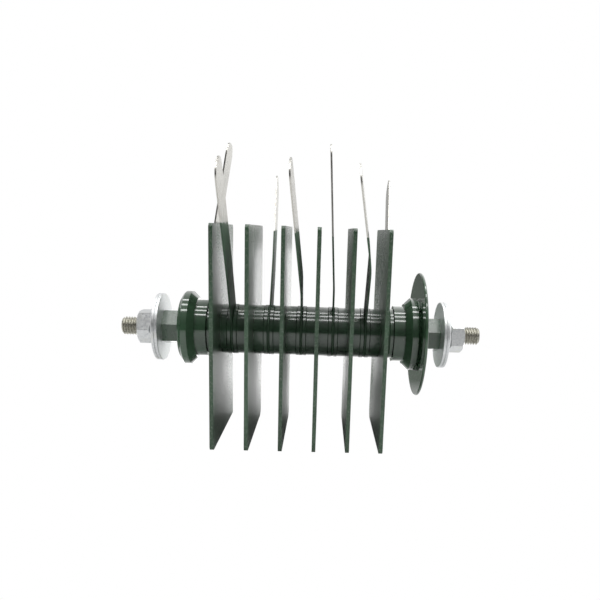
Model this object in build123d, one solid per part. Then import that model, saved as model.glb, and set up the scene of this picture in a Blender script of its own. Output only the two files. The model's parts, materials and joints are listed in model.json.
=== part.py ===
from build123d import *
import math
import os

# Bolt-in dethatcher reel: blades and spring tines on a core tube that turns on a clamped M10 axle.
#
# Frame: X runs along the axle, Z is up and the origin lies under the middle of the axle,
# on the plane of the blades' lower edges. All lengths are in millimetres.

# --- Axle and its fasteners -------------------------------------------------------------------
AXLE_LENGTH = 200.0
AXLE_RADIUS = 5.0              # M10
AXLE_CHAMFER = 1.0
BORE_CLEARANCE = 0.05          # radial, for every ring that slides over the axle

HEX_ACROSS_FLATS = 17.0        # spacers and nuts take the same spanner
HEX_SPACER_END = 77.0          # outer face of each hexagonal spacer, from the middle of the axle
FLAT_WASHER_RADIUS = 18.5
FLAT_WASHER_THICKNESS = 1.7
WASHERS_PER_SIDE = 2
SPRING_WASHER_RADIUS = 9.0
SPRING_WASHER_BORE = 5.2
SPRING_WASHER_THICKNESS = 2.4
SPRING_WASHER_GAP = 1.6
NUT_HEIGHT = 8.0
NUT_CHAMFER_ANGLE = 30.0
NUT_TURN = {"left": 4.6, "right": 27.5}    # degrees that each nut ended up turned
HEX_SPACER_TURN = -16.0
THREAD_GROOVE_START = 90.9     # last thread groove beside the nut; the free end lies outside it
THREAD_GROOVE_WIDTH = 0.6
THREAD_GROOVE_DEPTH = 0.6

# --- Blades -----------------------------------------------------------------------------------
BLADE_COUNT = 6
BLADE_PITCH = 17.8
BLADE_THICKNESS = 2.0
BLADE_HEIGHT = 117.0
BLADE_WIDTH = 73.0
BLADE_CORNER = 2.5
BLADE_FAR_FOOT_CORNERS = [0.6, 6.0, 6.0, 6.0, 6.0, 6.0]   # radius at +Y and lowest Z, blade by blade
BLADE_DROP = 1.0               # the hole sits this far above the blade's middle
STACK_CENTRE = -0.8            # middle of the blade stack, from the middle of the axle

# --- Core tube, spacers and clamp rings -------------------------------------------------------
CORE_RADIUS = 10.0
CORE_BORE = 7.5
SPACER_RADIUS = 13.7
RING_RADIUS = 14.0
RING_THICKNESS = 2.45
RING_CHAMFER = 0.4

# --- Tines ------------------------------------------------------------------------------------
TINE_THICKNESS = 0.8
TINE_WIDTH = 18.0
TINE_REACH = 101.0             # axis to tip
TINE_TIP_RADIUS = 7.0
# shift of the foot from the middle of its gap, lean about the axle, height of the set's bend, set angle
TINES = [
    (0.0, 6.0, 54.0, 8.5),
    (-1.8, -32.0, 40.0, -0.8),
    (0.2, 32.0, 40.0, -0.8),
    (0.2, -31.0, 32.0, -4.6),
    (-0.2, 0.0, 24.0, -3.0),
    (-0.3, -33.0, 50.0, -9.5),
    (0.0, 32.0, 30.0, 1.6),
]
TINE_BEND_RADIUS = 60.0

# --- Hubs and guard disc ----------------------------------------------------------------------
HUB_NECK_RADIUS = 15.6
HUB_FLANGE_RADIUS = 20.3
HUB_BOSS_RADIUS = 17.0
HUB_LENGTH = 14.9              # outer face to inner face
HUB_BOSS_LENGTH = 1.2
HUB_OUTER_CHAMFER = 1.2
HUB_RIM_LENGTH = 3.2
HUB_INNER_CHAMFER = 3.4
HUB_THROUGH_RADIUS = 8.0
CORE_SOCKET_DEPTH = 4.0
BEARING_RECESS = 0.6           # seal face below the hub's outer face
DISC_RADIUS = 34.7
DISC_THICKNESS = 1.6
DISC_EDGE_RADIUS = 0.7

# --- Ball bearings, 10 x 26 x 8 ---------------------------------------------------------------
BEARING_RADIUS = 13.0
BEARING_WIDTH = 8.0
BALL_COUNT = 7
BALL_RADIUS = 2.25
BALL_PITCH_RADIUS = 9.0
GROOVE_RADIUS = 2.4
INNER_RING_RADIUS = 7.4
OUTER_RING_BORE = 10.6
CAGE_RADII = (8.5, 9.5)
CAGE_LENGTH = 5.2
CAGE_POCKET_RADIUS = 2.4
SEAL_THICKNESS = 0.6
SEAL_GAP = 0.1                 # seal lip to inner ring, radial
SLEEVE_RADIUS = 6.6

# --- Worked out from the above ----------------------------------------------------------------
CORE_BORE_FIT = CORE_RADIUS + BORE_CLEARANCE
BEARING_SEAT_RADIUS = BEARING_RADIUS + BORE_CLEARANCE
AXIS_Z = BLADE_HEIGHT / 2 + BLADE_DROP
BLADE_X = [STACK_CENTRE + BLADE_PITCH * (i - (BLADE_COUNT - 1) / 2) for i in range(BLADE_COUNT)]
END_GAP = 2 * RING_THICKNESS + TINE_THICKNESS
STACK_END = {
    "left": BLADE_X[0] - BLADE_THICKNESS / 2 - END_GAP,
    "right": BLADE_X[-1] + BLADE_THICKNESS / 2 + END_GAP,
}
SIGN = {"left": -1, "right": 1}
HUB_FACE = {side: STACK_END[side] + SIGN[side] * HUB_LENGTH for side in SIGN}
BEARING_OUTER_FACE = {side: HUB_FACE[side] - SIGN[side] * BEARING_RECESS for side in SIGN}


def along_x(sketch_face, start, length):
    """Extrude a face of the YZ plane from X = start by length, then lift it to the axle."""
    return Pos(start, 0, AXIS_Z) * extrude(Plane.YZ * sketch_face, length)


def ring(start, end, outer, bore):
    """Plain ring on the axle between two X stations."""
    low, high = min(start, end), max(start, end)
    return along_x(Circle(outer) - Circle(bore), low, high - low)


def turned(points):
    """Solid of revolution about the axle; points are (X, radius) and close by themselves."""
    profile = make_face(Polyline(*[(x, r) for x, r in points], close=True))
    return Pos(0, 0, AXIS_Z) * revolve(Plane.XZ * profile, Axis.X)


def bevelled_ring(start, length, outer, bore, bevel):
    """Ring whose two outer edges are bevelled."""
    end = start + length
    return turned([
        (start, bore), (start, outer - bevel), (start + bevel, outer),
        (end - bevel, outer), (end, outer - bevel), (end, bore),
    ])


def hexagon(across_flats, turn):
    """Hexagon in the YZ plane with a flat on top when turn is 0."""
    return Rot(0, 0, turn) * RegularPolygon(across_flats / math.sqrt(3), 6)


# --- Axle side --------------------------------------------------------------------------------
def axle_rod():
    """Rod drawn at its thread's major diameter, with one thread groove cut beside each nut."""
    half = AXLE_LENGTH / 2
    tip = AXLE_RADIUS - AXLE_CHAMFER
    rod = turned([
        (-half, 0), (-half, tip), (-half + AXLE_CHAMFER, AXLE_RADIUS),
        (half - AXLE_CHAMFER, AXLE_RADIUS), (half, tip), (half, 0),
    ])
    for sign in SIGN.values():
        start, end = sign * THREAD_GROOVE_START, sign * (THREAD_GROOVE_START + THREAD_GROOVE_WIDTH)
        rod -= ring(start, end, AXLE_RADIUS + 1, AXLE_RADIUS - THREAD_GROOVE_DEPTH)
    return rod


def hex_spacer(side):
    """Painted hexagonal sleeve between the bearing and the washers."""
    inner = BEARING_OUTER_FACE[side]
    outer = SIGN[side] * HEX_SPACER_END
    foot = inner + SIGN[side] * (BEARING_RECESS + 0.4)     # round foot that clears the hub's face
    low, length = min(foot, outer), abs(outer - foot)
    bore = AXLE_RADIUS + BORE_CLEARANCE
    body = along_x(hexagon(HEX_ACROSS_FLATS, HEX_SPACER_TURN) - Circle(bore), low, length)
    return body + ring(inner, foot, INNER_RING_RADIUS - 0.4, bore)


def flat_washer(side, index):
    """One of the large flat washers; index 0 lies against the hexagonal spacer."""
    start = SIGN[side] * (HEX_SPACER_END + index * FLAT_WASHER_THICKNESS)
    end = start + SIGN[side] * FLAT_WASHER_THICKNESS
    return bevelled_ring(min(start, end), FLAT_WASHER_THICKNESS, FLAT_WASHER_RADIUS,
                         AXLE_RADIUS + BORE_CLEARANCE, 0.25)


def spring_washer(side):
    """Split ring, drawn clamped flat, with its slanted gap."""
    start = HEX_SPACER_END + WASHERS_PER_SIDE * FLAT_WASHER_THICKNESS
    end = start + SPRING_WASHER_THICKNESS
    washer = ring(SIGN[side] * start, SIGN[side] * end, SPRING_WASHER_RADIUS, SPRING_WASHER_BORE)
    cut_height = SPRING_WASHER_RADIUS - AXLE_RADIUS + 2
    cut = Rot(0, 0, 20) * Box(4 * SPRING_WASHER_THICKNESS, SPRING_WASHER_GAP, cut_height)
    mid = SIGN[side] * (start + end) / 2
    return washer - Pos(mid, 0, AXIS_Z + (SPRING_WASHER_RADIUS + SPRING_WASHER_BORE) / 2) * cut


def hex_nut(side):
    """M10 nut with both end faces chamfered."""
    start = HEX_SPACER_END + WASHERS_PER_SIDE * FLAT_WASHER_THICKNESS + SPRING_WASHER_THICKNESS
    corner = HEX_ACROSS_FLATS / math.sqrt(3)
    low = min(SIGN[side] * start, SIGN[side] * (start + NUT_HEIGHT))
    body = along_x(hexagon(HEX_ACROSS_FLATS, NUT_TURN[side]), low, NUT_HEIGHT)
    flat = HEX_ACROSS_FLATS / 2 * 0.95
    slope = (corner - flat) * math.tan(math.radians(NUT_CHAMFER_ANGLE))
    high = low + NUT_HEIGHT
    bore = AXLE_RADIUS
    blank = turned([
        (low, bore + 0.5), (low, flat), (low + slope, corner), (high - slope, corner),
        (high, flat), (high, bore + 0.5), (high - 0.5, bore), (low + 0.5, bore),
    ])
    return body & blank


# --- Bearings ---------------------------------------------------------------------------------
def bearing_centre(side):
    return BEARING_OUTER_FACE[side] - SIGN[side] * BEARING_WIDTH / 2


def race_groove(side):
    """Torus that the balls run in."""
    groove = Torus(BALL_PITCH_RADIUS, GROOVE_RADIUS)
    return Pos(bearing_centre(side), 0, AXIS_Z) * Rot(0, 90, 0) * groove


def bearing_inner_ring(side):
    mid, half = bearing_centre(side), BEARING_WIDTH / 2
    return ring(mid - half, mid + half, INNER_RING_RADIUS, AXLE_RADIUS + BORE_CLEARANCE) - race_groove(side)


def bearing_outer_ring(side):
    mid, half = bearing_centre(side), BEARING_WIDTH / 2
    return ring(mid - half, mid + half, BEARING_RADIUS, OUTER_RING_BORE) - race_groove(side)


def ball_places(side):
    """Centre of each ball."""
    for i in range(BALL_COUNT):
        angle = 2 * math.pi * i / BALL_COUNT
        yield Pos(bearing_centre(side), BALL_PITCH_RADIUS * math.sin(angle),
                  AXIS_Z + BALL_PITCH_RADIUS * math.cos(angle))


def bearing_balls(side):
    return Compound(children=[place * Sphere(BALL_RADIUS) for place in ball_places(side)])


def bearing_cage(side):
    mid = bearing_centre(side)
    cage = ring(mid - CAGE_LENGTH / 2, mid + CAGE_LENGTH / 2, CAGE_RADII[1], CAGE_RADII[0])
    for place in ball_places(side):
        cage -= place * Sphere(CAGE_POCKET_RADIUS)
    return cage


def bearing_seals(side):
    """Rubber seals in both faces of the outer ring's bore."""
    mid, half = bearing_centre(side), BEARING_WIDTH / 2
    lip = INNER_RING_RADIUS + SEAL_GAP
    low = ring(mid - half, mid - half + SEAL_THICKNESS, OUTER_RING_BORE, lip)
    high = ring(mid + half - SEAL_THICKNESS, mid + half, OUTER_RING_BORE, lip)
    return Compound(children=[low, high])


def distance_sleeve():
    """Keeps the two inner rings apart when the nuts are tightened."""
    ends = [bearing_centre(side) - SIGN[side] * BEARING_WIDTH / 2 for side in SIGN]
    return ring(ends[0], ends[1], SLEEVE_RADIUS, AXLE_RADIUS + BORE_CLEARANCE)


# --- Reel -------------------------------------------------------------------------------------
def core_tube():
    return ring(STACK_END["left"] - CORE_SOCKET_DEPTH, STACK_END["right"] + CORE_SOCKET_DEPTH,
                CORE_RADIUS, CORE_BORE)


def hub(side):
    """Flange with a bearing seat on its outer side and a socket for the core tube on its inner side."""
    sign, face, inner = SIGN[side], HUB_FACE[side], STACK_END[side]
    seat_end = BEARING_OUTER_FACE[side] - sign * BEARING_WIDTH
    rim_start = face - sign * (HUB_BOSS_LENGTH + HUB_OUTER_CHAMFER)
    rim_end = rim_start - sign * HUB_RIM_LENGTH
    return turned([
        (face, BEARING_SEAT_RADIUS),
        (face, HUB_BOSS_RADIUS),
        (face - sign * HUB_BOSS_LENGTH, HUB_BOSS_RADIUS + 0.4),
        (rim_start + sign * HUB_OUTER_CHAMFER, HUB_FLANGE_RADIUS - HUB_OUTER_CHAMFER),
        (rim_start, HUB_FLANGE_RADIUS),
        (rim_end, HUB_FLANGE_RADIUS),
        (rim_end - sign * HUB_INNER_CHAMFER, HUB_FLANGE_RADIUS - HUB_INNER_CHAMFER),
        (rim_end - sign * HUB_INNER_CHAMFER, HUB_NECK_RADIUS),
        (inner, HUB_NECK_RADIUS),
        (inner, CORE_BORE_FIT),
        (inner + sign * CORE_SOCKET_DEPTH, CORE_BORE_FIT),
        (inner + sign * CORE_SOCKET_DEPTH, HUB_THROUGH_RADIUS),
        (seat_end, HUB_THROUGH_RADIUS),
        (seat_end, BEARING_SEAT_RADIUS),
    ])


def guard_disc():
    """Thin disc with a rounded rim, seated on the boss of the right hub."""
    start = HUB_FACE["right"] - HUB_BOSS_LENGTH
    disc = ring(start, start + DISC_THICKNESS, DISC_RADIUS, HUB_BOSS_RADIUS + 0.4)
    rim = disc.edges().filter_by(GeomType.CIRCLE).group_by(SortBy.RADIUS)[-1]
    return fillet(rim, DISC_EDGE_RADIUS)


def far_foot(outline):
    """Corner of a YZ outline at the highest Y and the lowest Z."""
    return max(outline.vertices(), key=lambda corner: corner.X - corner.Y)


def blade(index):
    """Rectangular plate with rounded corners and a hole for the core tube."""
    plate = Pos(0, -BLADE_DROP) * Rectangle(BLADE_WIDTH, BLADE_HEIGHT)
    outline = fillet([corner for corner in plate.vertices() if corner != far_foot(plate)], BLADE_CORNER)
    outline = fillet(far_foot(outline), BLADE_FAR_FOOT_CORNERS[index])
    return along_x(outline - Circle(CORE_BORE_FIT), BLADE_X[index] - BLADE_THICKNESS / 2, BLADE_THICKNESS)


def tine_foot_x(index):
    """Middle of the strip at its foot: one tine outside each end blade, the rest between blades."""
    gap_centres = [BLADE_X[i] + BLADE_PITCH / 2 for i in range(BLADE_COUNT - 1)]
    outside = BLADE_THICKNESS / 2 + END_GAP / 2
    centres = [BLADE_X[0] - outside] + gap_centres + [BLADE_X[-1] + outside]
    return centres[index] + TINES[index][0]


def tine(index):
    """Bent strip: an eye around the core tube, a straight shank and a set tip, leaned about the axle."""
    _, lean, bend_height, set_angle = TINES[index]
    x = tine_foot_x(index)

    # side view: the strip follows its centre line, bent once by the set angle
    rise = TINE_REACH + 1 - bend_height
    foot, bend = (0, 0, -SPACER_RADIUS - 1), (0, 0, bend_height)
    top = (rise * math.tan(math.radians(set_angle)), 0, TINE_REACH + 1)
    if set_angle:
        path = FilletPolyline(foot, bend, top, radius=TINE_BEND_RADIUS)
    else:
        path = Line(foot, top)
    strip = sweep(Plane(foot) * Rectangle(TINE_THICKNESS, 2 * SPACER_RADIUS + 2), path)

    # front view in YZ: the outline of eye, shank and rounded tip
    shank_length = TINE_REACH - TINE_TIP_RADIUS
    shank = Pos(0, shank_length / 2) * Rectangle(TINE_WIDTH, shank_length)
    tip = Pos(0, shank_length - 1) * RectangleRounded(TINE_WIDTH, 2 * (TINE_TIP_RADIUS + 1), TINE_TIP_RADIUS)
    outline = Circle(SPACER_RADIUS) + shank + tip - Circle(CORE_BORE_FIT)
    front = extrude(Plane.YZ * outline, 30, both=True)

    return Pos(x, 0, AXIS_Z) * Rot(-lean, 0, 0) * (strip & front)


def clamp_rings(index):
    """The two rings that grip the eye of one tine."""
    x, half = tine_foot_x(index), TINE_THICKNESS / 2
    low = bevelled_ring(x - half - RING_THICKNESS, RING_THICKNESS, RING_RADIUS, CORE_BORE_FIT, RING_CHAMFER)
    high = bevelled_ring(x + half, RING_THICKNESS, RING_RADIUS, CORE_BORE_FIT, RING_CHAMFER)
    return Compound(children=[low, high])


def spacers(gap):
    """Spacer tubes on the two sides of the tine in one gap between blades."""
    x = tine_foot_x(gap + 1)
    grip = TINE_THICKNESS / 2 + RING_THICKNESS
    left = ring(BLADE_X[gap] + BLADE_THICKNESS / 2, x - grip, SPACER_RADIUS, CORE_BORE_FIT)
    right = ring(x + grip, BLADE_X[gap + 1] - BLADE_THICKNESS / 2, SPACER_RADIUS, CORE_BORE_FIT)
    return left, right


def build_nodes():
    """Every node by name."""
    nodes = {"axle_rod": axle_rod(), "distance_sleeve": distance_sleeve(), "core_tube": core_tube(),
             "guard_disc": guard_disc()}
    for side in SIGN:
        nodes[f"hex_spacer_{side}"] = hex_spacer(side)
        nodes[f"flat_washer_inner_{side}"] = flat_washer(side, 0)
        nodes[f"flat_washer_outer_{side}"] = flat_washer(side, 1)
        nodes[f"spring_washer_{side}"] = spring_washer(side)
        nodes[f"hex_nut_{side}"] = hex_nut(side)
        nodes[f"hub_{side}"] = hub(side)
        nodes[f"bearing_inner_ring_{side}"] = bearing_inner_ring(side)
        nodes[f"bearing_outer_ring_{side}"] = bearing_outer_ring(side)
        nodes[f"bearing_balls_{side}"] = bearing_balls(side)
        nodes[f"bearing_cage_{side}"] = bearing_cage(side)
        nodes[f"bearing_seals_{side}"] = bearing_seals(side)
    for i in range(BLADE_COUNT):
        nodes[f"blade_{i + 1}"] = blade(i)
    for i in range(len(TINES)):
        nodes[f"tine_{i + 1}"] = tine(i)
        nodes[f"clamp_rings_{i + 1}"] = clamp_rings(i)
    for gap in range(BLADE_COUNT - 1):
        left, right = spacers(gap)
        nodes[f"spacer_{gap + 1}_left"] = left
        nodes[f"spacer_{gap + 1}_right"] = right
    return nodes


os.makedirs("parts", exist_ok=True)
for name, shape in build_nodes().items():
    export_step(shape, f"parts/{name}.step")
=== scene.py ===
import bmesh
import bpy
import json
import math
from mathutils import Matrix, Vector

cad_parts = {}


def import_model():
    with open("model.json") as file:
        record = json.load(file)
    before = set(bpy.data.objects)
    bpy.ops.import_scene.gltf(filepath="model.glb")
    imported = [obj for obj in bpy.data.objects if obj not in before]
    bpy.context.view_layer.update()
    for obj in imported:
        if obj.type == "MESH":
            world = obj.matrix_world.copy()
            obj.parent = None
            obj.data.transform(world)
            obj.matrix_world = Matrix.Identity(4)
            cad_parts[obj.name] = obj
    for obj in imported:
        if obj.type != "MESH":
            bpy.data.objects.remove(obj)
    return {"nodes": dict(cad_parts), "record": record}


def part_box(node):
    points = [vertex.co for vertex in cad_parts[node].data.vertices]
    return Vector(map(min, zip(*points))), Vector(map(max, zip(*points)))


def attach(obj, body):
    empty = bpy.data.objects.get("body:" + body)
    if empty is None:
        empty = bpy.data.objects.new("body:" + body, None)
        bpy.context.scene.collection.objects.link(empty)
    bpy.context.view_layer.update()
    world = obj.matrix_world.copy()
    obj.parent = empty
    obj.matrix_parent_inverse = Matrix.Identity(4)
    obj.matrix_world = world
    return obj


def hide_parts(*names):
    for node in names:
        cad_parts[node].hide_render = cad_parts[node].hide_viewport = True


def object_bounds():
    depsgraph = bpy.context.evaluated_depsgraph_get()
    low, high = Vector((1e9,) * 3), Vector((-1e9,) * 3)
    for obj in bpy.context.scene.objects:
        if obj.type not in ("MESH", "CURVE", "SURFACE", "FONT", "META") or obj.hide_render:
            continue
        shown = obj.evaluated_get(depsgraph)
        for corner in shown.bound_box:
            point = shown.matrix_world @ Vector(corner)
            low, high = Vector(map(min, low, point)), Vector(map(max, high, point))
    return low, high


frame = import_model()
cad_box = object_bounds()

# All lengths are in metres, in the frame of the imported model: X along the axle, Z up.
SIDES = ("left", "right")
BLADES = [f"blade_{i}" for i in range(1, 7)]
TINES = [f"tine_{i}" for i in range(1, 8)]

# height above the axle up to which each tine was dipped in paint, tine_1 first
PAINT_HEIGHTS = [0.0540, 0.0575, 0.0551, 0.0548, 0.0532, 0.0530, 0.0545]
PAINT_EDGE = 0.0004            # height over which the paint ends


def middle(node):
    """Centre of a CAD node's box."""
    low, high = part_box(node)
    return (Vector(low) + Vector(high)) / 2


AXLE = middle("axle_rod")


# --- Node trees -------------------------------------------------------------------------------
class Nodes:
    """A node tree, with short calls for the nodes used here."""

    def __init__(self, tree):
        self.tree = tree

    def add(self, kind, **settings):
        node = self.tree.nodes.new(kind)
        for name, value in settings.items():
            setattr(node, name, value)
        return node

    def join(self, source, target):
        self.tree.links.new(source, target)

    def axes(self, vector):
        """The X, Y and Z of a vector."""
        node = self.add("ShaderNodeSeparateXYZ")
        self.join(vector, node.inputs[0])
        return node.outputs

    def ramp(self, value, low, high, start=0.0, end=1.0):
        """value mapped from low..high to start..end, clamped."""
        node = self.add("ShaderNodeMapRange")
        for name, number in zip(("From Min", "From Max", "To Min", "To Max"), (low, high, start, end)):
            node.inputs[name].default_value = number
        self.join(value, node.inputs["Value"])
        return node.outputs["Result"]

    def math(self, operation, first, second):
        node = self.add("ShaderNodeMath", operation=operation)
        for value, socket in ((first, node.inputs[0]), (second, node.inputs[1])):
            if isinstance(value, (int, float)):
                socket.default_value = value
            else:
                self.join(value, socket)
        return node.outputs[0]

    def blend(self, factor, first, second):
        """Colour blend; first and second are colours or sockets."""
        node = self.add("ShaderNodeMix", data_type="RGBA")
        self.join(factor, node.inputs["Factor"])
        for value, socket in ((first, node.inputs[6]), (second, node.inputs[7])):
            if isinstance(value, tuple):
                socket.default_value = (*value, 1)
            else:
                self.join(value, socket)
        return node.outputs[2]


class Finish(Nodes):
    """A new material of the object, with its node tree."""

    def __init__(self, name):
        self.material = bpy.data.materials.new(name)
        self.material.use_nodes = True
        super().__init__(self.material.node_tree)
        self.shader = self.tree.nodes["Principled BSDF"]
        self.coords = self.add("ShaderNodeTexCoord").outputs["Object"]

    def set(self, **values):
        """Values on the shader's own sockets; underscores stand for spaces."""
        for name, value in values.items():
            self.shader.inputs[name.replace("_", " ")].default_value = value

    def noise(self, size, detail=3.0, roughness=0.55, stretch=(1, 1, 1)):
        """Noise whose features are about size metres across."""
        scaled = self.add("ShaderNodeMapping")
        scaled.inputs["Scale"].default_value = stretch
        self.join(self.coords, scaled.inputs["Vector"])
        node = self.add("ShaderNodeTexNoise")
        node.inputs["Scale"].default_value = 1 / size
        node.inputs["Detail"].default_value = detail
        node.inputs["Roughness"].default_value = roughness
        self.join(scaled.outputs["Vector"], node.inputs["Vector"])
        return node.outputs["Fac"]

    def bump(self, height, depth, after=None):
        """Bump whose full height is depth metres."""
        node = self.add("ShaderNodeBump")
        node.inputs["Strength"].default_value = 1
        node.inputs["Distance"].default_value = depth
        self.join(height, node.inputs["Height"])
        if after:
            self.join(after, node.inputs["Normal"])
        return node.outputs["Normal"]

    def use(self, color=None, roughness=None, normal=None, metallic=None):
        for socket, name in ((color, "Base Color"), (roughness, "Roughness"), (normal, "Normal"),
                             (metallic, "Metallic")):
            if socket:
                self.join(socket, self.shader.inputs[name])
        return self.material


PAINT_DARK = (0.032, 0.068, 0.037)
PAINT_LIGHT = (0.054, 0.120, 0.064)


def paint(name, peel=0.000005, gloss=0.06):
    """Dark green enamel, sprayed on: orange peel, slow shade changes and a few dust specks.

    peel is the depth of the orange peel, and gloss the lowest roughness.
    """
    g = Finish(name)
    shade = g.ramp(g.noise(0.014), 0.35, 0.7)
    color = g.blend(shade, PAINT_DARK, PAINT_LIGHT)
    specks = g.ramp(g.noise(0.0009, detail=1), 0.74, 0.8)
    color = g.blend(specks, color, (0.10, 0.13, 0.10))
    rough = g.ramp(g.noise(0.006), 0.3, 0.7, gloss, gloss + 0.06)
    normal = g.bump(g.noise(0.0016, detail=2), peel)
    g.set(IOR=1.5, Coat_Weight=1.0, Coat_Roughness=gloss, Coat_IOR=1.5)
    return g.use(color, rough, normal)


def blade_paint():
    """The same enamel on the grainy rolled faces of the blades, with light specks painted on the grain
    as its sheen, duller towards the low front corner.
    """
    g = Finish("blade_paint")
    shade = g.ramp(g.noise(0.02), 0.3, 0.7)
    color = g.blend(shade, PAINT_DARK, PAINT_LIGHT)
    grain = g.noise(0.0011, detail=3, roughness=0.7)
    # light specks on the grain: painted sheen of the grainy enamel, not a colour of the paint
    color = g.blend(g.ramp(grain, 0.5, 0.72), color, (0.16, 0.20, 0.16))
    place = g.axes(g.coords)
    height = g.ramp(place["Z"], AXLE.z - 0.06, AXLE.z + 0.06, -0.03, 0.03)
    drift = g.ramp(g.noise(0.012), 0.2, 0.8, -0.01, 0.01)
    flow = g.math("ADD", g.math("ADD", place["Y"], height), drift)
    dull = g.ramp(flow, -0.02, 0.015, 0.42, 0.22)
    rough = g.math("ADD", dull, g.ramp(grain, 0.35, 0.65, -0.08, 0.1))
    coarse = g.bump(g.noise(0.004, detail=2), 0.00003)
    normal = g.bump(grain, 0.0001, coarse)
    g.set(IOR=1.5, Coat_Weight=0.3, Coat_Roughness=0.3, Coat_IOR=1.5)
    return g.use(color, rough, normal)


def tine_finish(index):
    """Brushed spring steel above the ragged paint line, enamel below it."""
    g = Finish(f"tine_finish_{index + 1}")
    ragged = g.ramp(g.noise(0.003), 0.2, 0.8, -0.0015, 0.0015)
    height = g.math("ADD", g.axes(g.coords)["Z"], ragged)
    end = AXLE.z + PAINT_HEIGHTS[index]
    bare = g.ramp(height, end, end + PAINT_EDGE)
    brushed = g.noise(0.0008, detail=4, stretch=(1, 1, 0.12))
    steel = g.blend(g.ramp(brushed, 0.3, 0.7), (0.50, 0.49, 0.45), (0.66, 0.65, 0.61))
    stain = g.ramp(g.noise(0.005, detail=4), 0.62, 0.78)
    steel = g.blend(stain, steel, (0.40, 0.36, 0.28))
    enamel = g.blend(g.ramp(g.noise(0.004), 0.3, 0.7), PAINT_DARK, PAINT_LIGHT)
    color = g.blend(bare, enamel, steel)
    rough = g.math("ADD", g.ramp(brushed, 0.3, 0.7, 0.24, 0.38), g.ramp(bare, 0, 1, 0.2, 0))
    normal = g.bump(brushed, 0.000006)
    return g.use(color, rough, normal, bare)


def zinc(name, gloss):
    """Bright zinc plate with its faint spangle; gloss is the lowest roughness."""
    g = Finish(name)
    spangle = g.noise(0.0011, detail=3)
    cloudy = g.noise(0.006)
    color = g.blend(g.ramp(spangle, 0.3, 0.7), (0.66, 0.68, 0.69), (0.83, 0.84, 0.84))
    color = g.blend(g.ramp(cloudy, 0.55, 0.8), color, (0.72, 0.73, 0.68))
    rough = g.ramp(spangle, 0.3, 0.7, gloss, gloss + 0.16)
    normal = g.bump(spangle, 0.00001)
    g.set(Metallic=1.0)
    return g.use(color, rough, normal)


def bare_steel():
    """Yellowish passivated steel of the threads and tubes."""
    g = Finish("bare_steel")
    tone = g.noise(0.0014, detail=4)
    color = g.blend(g.ramp(tone, 0.3, 0.7), (0.38, 0.37, 0.32), (0.54, 0.53, 0.47))
    rough = g.ramp(tone, 0.3, 0.7, 0.36, 0.5)
    g.set(Metallic=1.0)
    return g.use(color, rough, g.bump(tone, 0.00001))


def polished_steel(name, low, high):
    """Ground steel with fine marks round the axle, between two tones."""
    g = Finish(name)
    marks = g.noise(0.0006, detail=3, stretch=(3, 0.6, 0.6))
    color = g.blend(g.ramp(marks, 0.3, 0.7), low, high)
    g.set(Metallic=1.0)
    return g.use(color, g.ramp(marks, 0.3, 0.7, 0.1, 0.2), g.bump(marks, 0.000002))


def rubber():
    """Matt black rubber of the bearing seals."""
    g = Finish("seal_rubber")
    grain = g.noise(0.0005, detail=3)
    color = g.blend(g.ramp(grain, 0.3, 0.7), (0.016, 0.016, 0.017), (0.035, 0.035, 0.036))
    return g.use(color, g.ramp(grain, 0.3, 0.7, 0.5, 0.7), g.bump(grain, 0.00002))


SHARP_ANGLE = math.radians(35)


def dress(node, material):
    """Gives a CAD node one material."""
    mesh = frame["nodes"][node].data
    mesh.materials.clear()
    mesh.materials.append(material)


def soften(node, width):
    """Small round on the sharp edges of a CAD node."""
    piece = frame["nodes"][node]
    bevel = piece.modifiers.new("edge_round", "BEVEL")
    bevel.width = width
    bevel.segments = 2
    bevel.limit_method = "ANGLE"
    bevel.angle_limit = SHARP_ANGLE
    bevel.harden_normals = True


# --- Meshes -----------------------------------------------------------------------------------
def close_tube(mesh, rings):
    """Faces between rings of the same number of vertices, and over both ends."""
    for near, far in zip(rings, rings[1:]):
        for i in range(len(near)):
            j = (i + 1) % len(near)
            mesh.faces.new((near[i], near[j], far[j], far[i]))
    mesh.faces.new(rings[0])
    mesh.faces.new(list(reversed(rings[-1])))
    bmesh.ops.recalc_face_normals(mesh, faces=mesh.faces[:])


def finish_piece(mesh, name, material, sharp=None):
    """Turns a bmesh into a shown, smooth object; edges beyond the angle sharp stay sharp."""
    data = bpy.data.meshes.new(name)
    mesh.to_mesh(data)
    mesh.free()
    data.materials.append(material)
    data.shade_smooth()
    if sharp:
        data.set_sharp_from_angle(angle=sharp)
    piece = bpy.data.objects.new(name, data)
    bpy.context.scene.collection.objects.link(piece)
    return piece


# --- Threaded axle ----------------------------------------------------------------------------
THREAD_PITCH = 0.0015
THREAD_DEPTH = 0.0009
THREAD_STEPS = 10              # rings to one pitch
THREAD_SIDES = 48
THREAD_CREST = 0.12            # flat crest and sloping flanks, as shares of half a pitch
THREAD_FLANK = 0.66
AXLE_CHAMFER = 0.001


def thread_depth_at(turns):
    """Share of the thread's depth at a point that many turns along the helix: flat crest and root."""
    phase = turns % 1.0
    rise = abs(2 * phase - 1)
    return min(1.0, max(0.0, (rise - THREAD_CREST) / THREAD_FLANK))


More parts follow.
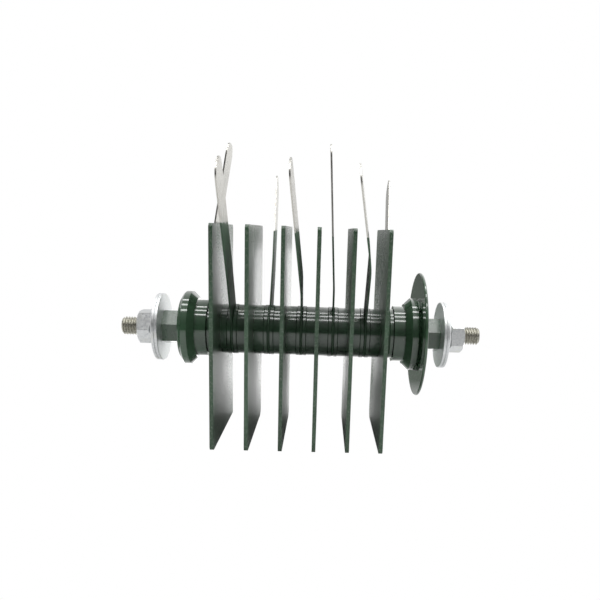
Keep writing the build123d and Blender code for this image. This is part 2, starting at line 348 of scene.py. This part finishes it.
def threaded_rod(material):
    """The axle with real helical threads on its two ends."""
    low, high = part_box("axle_rod")
    radius = (high[2] - low[2]) / 2
    half = (high[0] - low[0]) / 2
    thread_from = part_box("flat_washer_inner_right")[0][0]
    step = THREAD_PITCH / THREAD_STEPS
    count = int((half - thread_from) / step)
    stations = [thread_from + (half - thread_from) * i / count for i in range(count + 1)]
    stations = [-x for x in reversed(stations)] + stations

    mesh = bmesh.new()
    rings = []
    for x in stations:
        shoulder = min(1.0, (abs(x) - thread_from) / THREAD_PITCH)
        end_limit = radius - AXLE_CHAMFER + (half - abs(x))
        loop = []
        for i in range(THREAD_SIDES):
            angle = 2 * math.pi * i / THREAD_SIDES
            depth = THREAD_DEPTH * shoulder * thread_depth_at(x / THREAD_PITCH + i / THREAD_SIDES)
            r = min(radius - depth, end_limit)
            loop.append(mesh.verts.new((x, r * math.sin(angle), AXLE.z + r * math.cos(angle))))
        rings.append(loop)
    close_tube(mesh, rings)
    return finish_piece(mesh, "threaded_axle", material, sharp=SHARP_ANGLE)


# --- Tack welds -------------------------------------------------------------------------------
WELD_ANGLES = (30, 150, 270)   # degrees from the top, towards the front
WELD_HALF_SPAN = math.radians(11)
WELD_RADIUS = 0.0012
WELD_STEPS = 36
WELD_SIDES = 12
WELD_RIPPLES = 5
WELD_RIPPLE_DEPTH = 0.12       # share of the bead's thickness
WELD_TIP = 0.05                # thickness of its two ends, as a share of WELD_RADIUS
WELD_SINK = 0.0003             # depth of its middle below the flange's rim
WELD_OFFSET = 0.0005           # distance of its middle from the disc


def tack_weld(number, degrees, material):
    """Short rippled bead in the corner between the right hub's flange and the guard disc."""
    low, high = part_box("hub_right")
    seam_radius = (high[2] - low[2]) / 2 - WELD_SINK
    seam_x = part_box("guard_disc")[0][0] - WELD_OFFSET
    along_axle = Vector((1, 0, 0))
    mesh = bmesh.new()
    rings = []
    for i in range(WELD_STEPS + 1):
        along = 2 * i / WELD_STEPS - 1
        angle = math.radians(degrees) + along * WELD_HALF_SPAN
        ripple = 1 + WELD_RIPPLE_DEPTH * math.cos(2 * math.pi * WELD_RIPPLES * along)
        body = math.sqrt(1 - along ** 4) * ripple
        thickness = WELD_RADIUS * (WELD_TIP + (1 - WELD_TIP) * body)
        outward = Vector((0, -math.sin(angle), math.cos(angle)))
        centre = Vector((seam_x, 0, AXLE.z)) + seam_radius * outward
        loop = []
        for j in range(WELD_SIDES):
            turn = 2 * math.pi * j / WELD_SIDES
            reach = math.cos(turn) * outward + math.sin(turn) * along_axle
            loop.append(mesh.verts.new(centre + thickness * reach))
        rings.append(loop)
    close_tube(mesh, rings)
    return finish_piece(mesh, f"tack_weld_{number}", material)


# --- Stage, lights and camera -----------------------------------------------------------------
FLOOR_SIZE = 8
FLOOR_GAP = 0.0002             # from the lowest blade edge down to the floor
FLOOR_TONE = (0.68, 0.68, 0.68)
# FLOOR_SHADE: floor colour darkened where it should be in shadow, a painted shade
FLOOR_SHADE = (0.08, 0.10, 0.08)
# behind the object the floor glows and lights it, though it is no lamp
SWEEP_START = 0.03             # Y where the floor behind the object begins to turn into the backdrop
SWEEP_END = 0.14
SHADE_X = 0.01                 # that part of the floor is shaded on the right of SHADE_X if it is nearer
SHADE_Y = 0.33                 # than SHADE_Y, and on its left if it is further
SHADE_BLUR = 0.001
SHADE_END = 0.06               # the shade doesn't reach beyond this X
SHADE_FADE = 0.01


def blend_by_ray(n, lit, shown, output):
    """Joins two shaders: the camera sees the one shown, and the object is lit by the other."""
    choose = n.add("ShaderNodeMixShader")
    n.join(n.add("ShaderNodeLightPath").outputs["Is Camera Ray"], choose.inputs["Fac"])
    n.join(lit, choose.inputs[1])
    n.join(shown, choose.inputs[2])
    n.join(choose.outputs[0], output)


def floor():
    """Large plain floor under the blades, white to the camera; for the object it glows behind it, and
    part of it carries painted shade.
    """
    bpy.ops.mesh.primitive_plane_add(size=FLOOR_SIZE, location=(0, 0, cad_box[0][2] - FLOOR_GAP))
    plane = bpy.context.object
    plane.name = "floor"
    material = bpy.data.materials.new("floor_white")
    material.use_nodes = True
    plane.data.materials.append(material)
    n = Nodes(material.node_tree)
    matt = n.tree.nodes["Principled BSDF"]
    matt.inputs["Roughness"].default_value = 0.9
    matt.inputs["Emission Color"].default_value = (1, 1, 1, 1)
    place = n.axes(n.add("ShaderNodeTexCoord").outputs["Object"])
    behind = n.ramp(place["Y"], SWEEP_START, SWEEP_END)
    off_x = n.math("SUBTRACT", place["X"], SHADE_X)
    off_y = n.math("SUBTRACT", place["Y"], SHADE_Y)
    shade = n.ramp(n.math("MULTIPLY", off_x, off_y), SHADE_BLUR, -SHADE_BLUR)
    shade = n.math("MULTIPLY", shade, behind)
    shade = n.math("MULTIPLY", shade, n.ramp(place["X"], SHADE_END, SHADE_END - SHADE_FADE))
    # painted shade in the floor's colour; the floor glows behind the object, less where the shade lies
    n.join(n.blend(shade, FLOOR_TONE, FLOOR_SHADE), matt.inputs["Base Color"])
    n.join(n.math("SUBTRACT", behind, shade), matt.inputs["Emission Strength"])
    glow = n.add("ShaderNodeEmission")
    blend_by_ray(n, matt.outputs[0], glow.outputs[0], n.tree.nodes["Material Output"].inputs["Surface"])


# elevation of a direction, from the front horizon (0) over the top to the back one, and its brightness
STUDIO = [(-90, 0.5), (-10, 0.12), (0, 0.06), (18, 0.08), (35, 0.32), (50, 0.5), (60, 0.9),
          (120, 1.2), (140, 1.3), (160, 1.1), (180, 1.05)]
LEFT_SHARE = 0.3               # how bright the left of the studio is, against the right
SIDE_BLUR = 0.04               # X of the directions where the left ends and the right begins
PANEL_START = -0.16            # X of the directions where extra light from the left begins, and is full
PANEL_FULL = -0.21
PANEL_LEVEL = 0.35


def world():
    """White to the camera; lights the object with a dark front, a grey upper front and a white back."""
    studio = bpy.data.worlds.new("studio")
    bpy.context.scene.world = studio
    studio.use_nodes = True
    n = Nodes(studio.node_tree)
    lit = n.tree.nodes["Background"]
    toward = n.axes(n.add("ShaderNodeTexCoord").outputs["Generated"])
    elevation = n.math("ARCTAN2", toward["Z"], n.math("MULTIPLY", toward["Y"], -1))
    ramp = n.add("ShaderNodeValToRGB")
    stops = sorted((((e + 180) % 360) / 360, level) for e, level in STUDIO if e < 180)
    stops.append((1.0, STUDIO[-1][1]))
    elements = ramp.color_ramp.elements
    while len(elements) < len(stops):
        elements.new(0.5)
    for element, (position, level) in zip(elements, stops):
        element.position = position
        element.color = (level, level, level, 1)
    n.join(n.ramp(elevation, -math.pi, math.pi), ramp.inputs["Fac"])
    n.join(ramp.outputs["Color"], lit.inputs["Color"])
    side = n.ramp(toward["X"], -SIDE_BLUR, SIDE_BLUR, LEFT_SHARE, 1)
    panel = n.ramp(toward["X"], PANEL_START, PANEL_FULL, 0, PANEL_LEVEL)
    n.join(n.math("ADD", side, panel), lit.inputs["Strength"])
    plain = n.add("ShaderNodeBackground")
    plain.inputs["Color"].default_value = (1, 1, 1, 1)
    blend_by_ray(n, lit.outputs[0], plain.outputs[0], n.tree.nodes["World Output"].inputs["Surface"])


STRIP_ELEVATIONS = (63, 83, 103)       # degrees from the front horizon
STRIP_DISTANCE = 0.75                  # from the axle
STRIP_LENGTH = 1.2
STRIP_WIDTH = 0.075
STRIP_POWER = 1.9                      # W


def strip_lights():
    """Three long soft lights over the axle and parallel to it."""
    for number, degrees in enumerate(STRIP_ELEVATIONS, 1):
        lamp = bpy.data.lights.new(f"strip_{number}", "AREA")
        lamp.shape = "RECTANGLE"
        lamp.size = STRIP_LENGTH
        lamp.size_y = STRIP_WIDTH
        lamp.energy = STRIP_POWER
        strip = bpy.data.objects.new(lamp.name, lamp)
        e = math.radians(degrees)
        away = Vector((0, -math.cos(e), math.sin(e)))
        strip.location = AXLE + away * STRIP_DISTANCE
        strip.rotation_euler = (math.pi / 2 - e, 0, 0)
        strip.visible_camera = False
        bpy.context.scene.collection.objects.link(strip)


CAMERA_FROM_AXLE = Vector((0.0099, -0.3515, 0.0551))
CAMERA_YAW = math.radians(2.32)        # towards +X
CAMERA_DOWN = math.radians(11.43)
CAMERA_ROLL = math.radians(2.14)
CAMERA_LENS = 37.65                    # mm on a 36 mm wide frame
CAMERA_SHIFT = (-0.074, 0.0997)


def camera():
    """Camera in front of the reel, a little above the axle and looking down at it."""
    view = Vector((math.sin(CAMERA_YAW) * math.cos(CAMERA_DOWN),
                   math.cos(CAMERA_YAW) * math.cos(CAMERA_DOWN), -math.sin(CAMERA_DOWN)))
    right = Vector((math.cos(CAMERA_YAW), -math.sin(CAMERA_YAW), 0))
    up = right.cross(view)
    x_axis = math.cos(CAMERA_ROLL) * right + math.sin(CAMERA_ROLL) * up
    y_axis = math.cos(CAMERA_ROLL) * up - math.sin(CAMERA_ROLL) * right
    data = bpy.data.cameras.new("camera")
    data.lens = CAMERA_LENS
    data.sensor_width = 36
    data.shift_x, data.shift_y = CAMERA_SHIFT
    data.clip_start = 0.01
    eye = bpy.data.objects.new("camera", data)
    turn = Matrix((x_axis, y_axis, -view)).transposed()
    eye.matrix_world = Matrix.Translation(AXLE + CAMERA_FROM_AXLE) @ turn.to_4x4()
    bpy.context.scene.collection.objects.link(eye)
    bpy.context.scene.camera = eye


# --- Making -----------------------------------------------------------------------------------
BLADE_ROUND = 0.0004
EDGE_ROUNDS = {"hub": 0.0004, "hex_nut": 0.0003, "hex_spacer": 0.0004, "spring_washer": 0.0003}

floor()
world()
strip_lights()
camera()
bpy.context.scene.view_settings.view_transform = "Standard"

enamel = paint("green_enamel")
dull_enamel = paint("dull_green_enamel", peel=0.00001, gloss=0.24)
tube_enamel = paint("tube_enamel", peel=0.000009, gloss=0.13)
blade_enamel = blade_paint()
plate = zinc("zinc_plate", 0.38)
nut_plate = zinc("nut_zinc_plate", 0.27)
raw_steel = bare_steel()
race_steel = polished_steel("bearing_steel", (0.55, 0.55, 0.56), (0.78, 0.78, 0.80))
cage_steel = polished_steel("cage_steel", (0.42, 0.42, 0.41), (0.62, 0.61, 0.60))
seal_rubber = rubber()

axle = threaded_rod(raw_steel)
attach(axle, "axle")
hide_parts("axle_rod")

# the record's material slots, then the nodes that differ from the rest of their slot
FINISHES = {"green_paint": enamel, "zinc_plate": plate, "bare_steel": raw_steel,
            "bearing_steel": race_steel, "cage_steel": cage_steel, "seal_rubber": seal_rubber}
for subpart in frame["record"]["subparts"]:
    if subpart["material_slot"] in FINISHES:
        dress(subpart["node"], FINISHES[subpart["material_slot"]])
for name in frame["nodes"]:
    if name.startswith(("spacer_", "clamp_rings_")):
        dress(name, tube_enamel)
for name in BLADES:
    dress(name, blade_enamel)
    soften(name, BLADE_ROUND)
for index, name in enumerate(TINES):
    dress(name, tine_finish(index))
for side in SIDES:
    dress(f"hex_spacer_{side}", dull_enamel)
    dress(f"hex_nut_{side}", nut_plate)
    for kind, width in EDGE_ROUNDS.items():
        soften(f"{kind}_{side}", width)
for number, degrees in enumerate(WELD_ANGLES, 1):
    weld = tack_weld(number, degrees, enamel)
    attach(weld, "reel")
